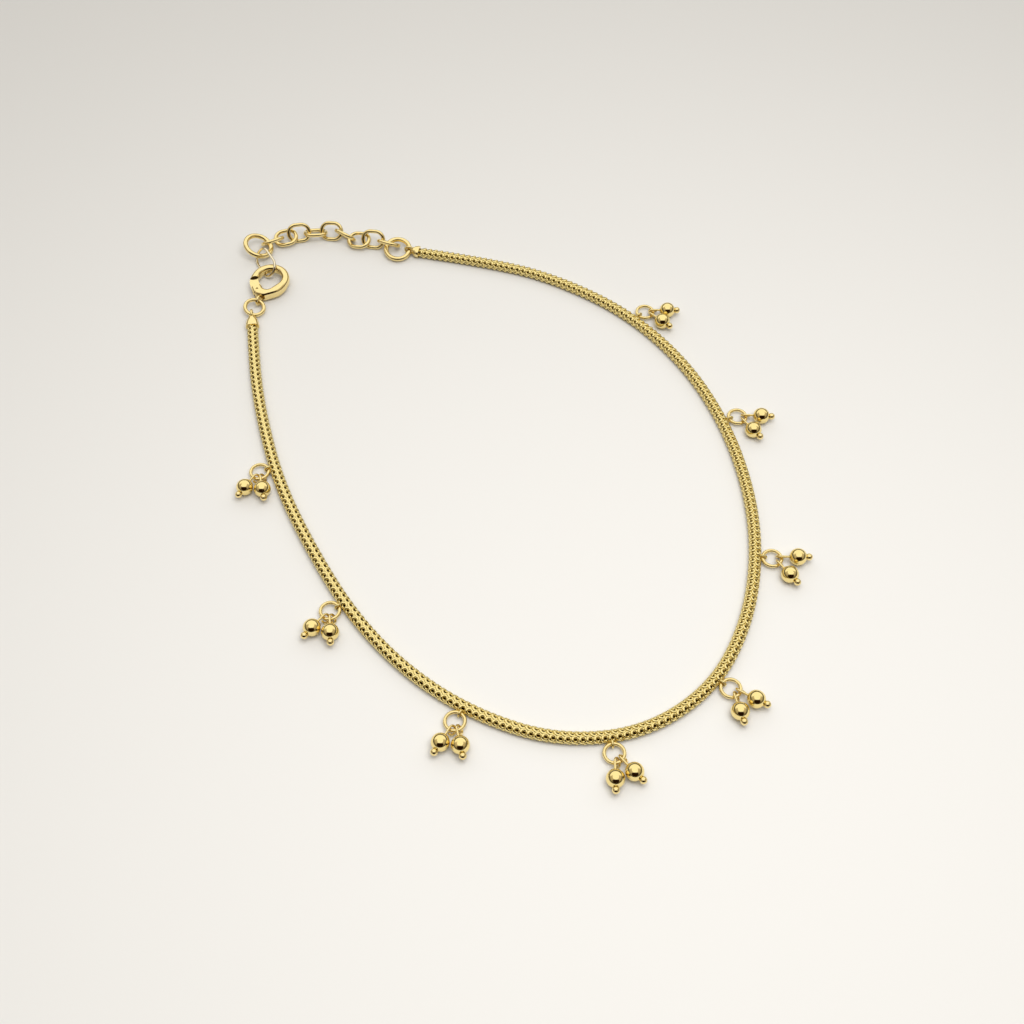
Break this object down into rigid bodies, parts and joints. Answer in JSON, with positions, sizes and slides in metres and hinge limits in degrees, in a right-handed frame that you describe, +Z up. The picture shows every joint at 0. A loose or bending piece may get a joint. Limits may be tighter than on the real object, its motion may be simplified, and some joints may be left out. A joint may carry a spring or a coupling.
{
  "type": "charm anklet",
  "caption": "Flat woven metal band closed into a loop by a lobster clasp and a short extender chain, with pairs of drilled balls on jump rings.",
  "frame": {"origin": "under the middle of the anklet's outline as it lies flat, on the surface that carries it", "axes": "+Z up from that surface; +Y towards the side with the clasp and the extender, the outline's long way; +X to the right seen from above with +Y away, so the clasp is at the far left"},
  "size_m": [0.0833, 0.0967, 0.0028],
  "materials": {
    "woven_gold": "gold-plated woven wire, polished",
    "polished_gold": "gold-plated, polished",
    "mirror_gold": "gold-plated, high polish",
    "pale_gold": "paler gold-plated wire, polished"
  },
  "bodies": {
    "anklet": {"woven_band": "woven_gold", "clasp_end_cap": "polished_gold", "extender_end_cap": "polished_gold", "clasp_jump_ring": "polished_gold", "clasp_body": "polished_gold", "clasp_rivet": "polished_gold", "end_ring": "polished_gold", "extender_ring": "polished_gold", "extender_link_1": "polished_gold", "extender_link_2": "polished_gold", "extender_link_3": "polished_gold", "extender_link_4": "polished_gold", "extender_link_5": "polished_gold", "extender_link_6": "polished_gold", "extender_link_7": "polished_gold", "extender_link_8": "polished_gold", "extender_link_9": "polished_gold", "charm_ring_1": "polished_gold", "charm_ring_2": "polished_gold", "charm_ring_3": "polished_gold", "charm_ring_4": "polished_gold", "charm_ring_5": "polished_gold", "charm_ring_6": "polished_gold", "charm_ring_7": "polished_gold", "charm_ring_8": "polished_gold", "charm_pin_1a": "polished_gold", "charm_pin_1b": "polished_gold", "charm_pin_2a": "polished_gold", "charm_pin_2b": "polished_gold", "charm_pin_3a": "polished_gold", "charm_pin_3b": "polished_gold", "charm_pin_4a": "polished_gold", "charm_pin_4b": "polished_gold", "charm_pin_5a": "polished_gold", "charm_pin_5b": "polished_gold", "charm_pin_6a": "polished_gold", "charm_pin_6b": "polished_gold", "charm_pin_7a": "polished_gold", "charm_pin_7b": "polished_gold", "charm_pin_8a": "polished_gold", "charm_pin_8b": "polished_gold", "charm_ball_1a": "mirror_gold", "charm_ball_1b": "mirror_gold", "charm_ball_2a": "mirror_gold", "charm_ball_2b": "mirror_gold", "charm_ball_3a": "mirror_gold", "charm_ball_3b": "mirror_gold", "charm_ball_4a": "mirror_gold", "charm_ball_4b": "mirror_gold", "charm_ball_5a": "mirror_gold", "charm_ball_5b": "mirror_gold", "charm_ball_6a": "mirror_gold", "charm_ball_6b": "mirror_gold", "charm_ball_7a": "mirror_gold", "charm_ball_7b": "mirror_gold", "charm_ball_8a": "mirror_gold", "charm_ball_8b": "mirror_gold", "catch_link": "pale_gold"},
    "clasp_lever": {"clasp_lever": "polished_gold"}
  },
  "joints": [
    {"name": "lever_swing", "type": "hinge", "parent": "anklet", "child": "clasp_lever", "pos_m": [-0.03852, 0.03344, 0.00101], "axis": [0, 0, -1], "range_deg": [0, 25], "stiffness_Nm_per_rad": 0.0005, "springref_deg": -17.19}
  ]
}
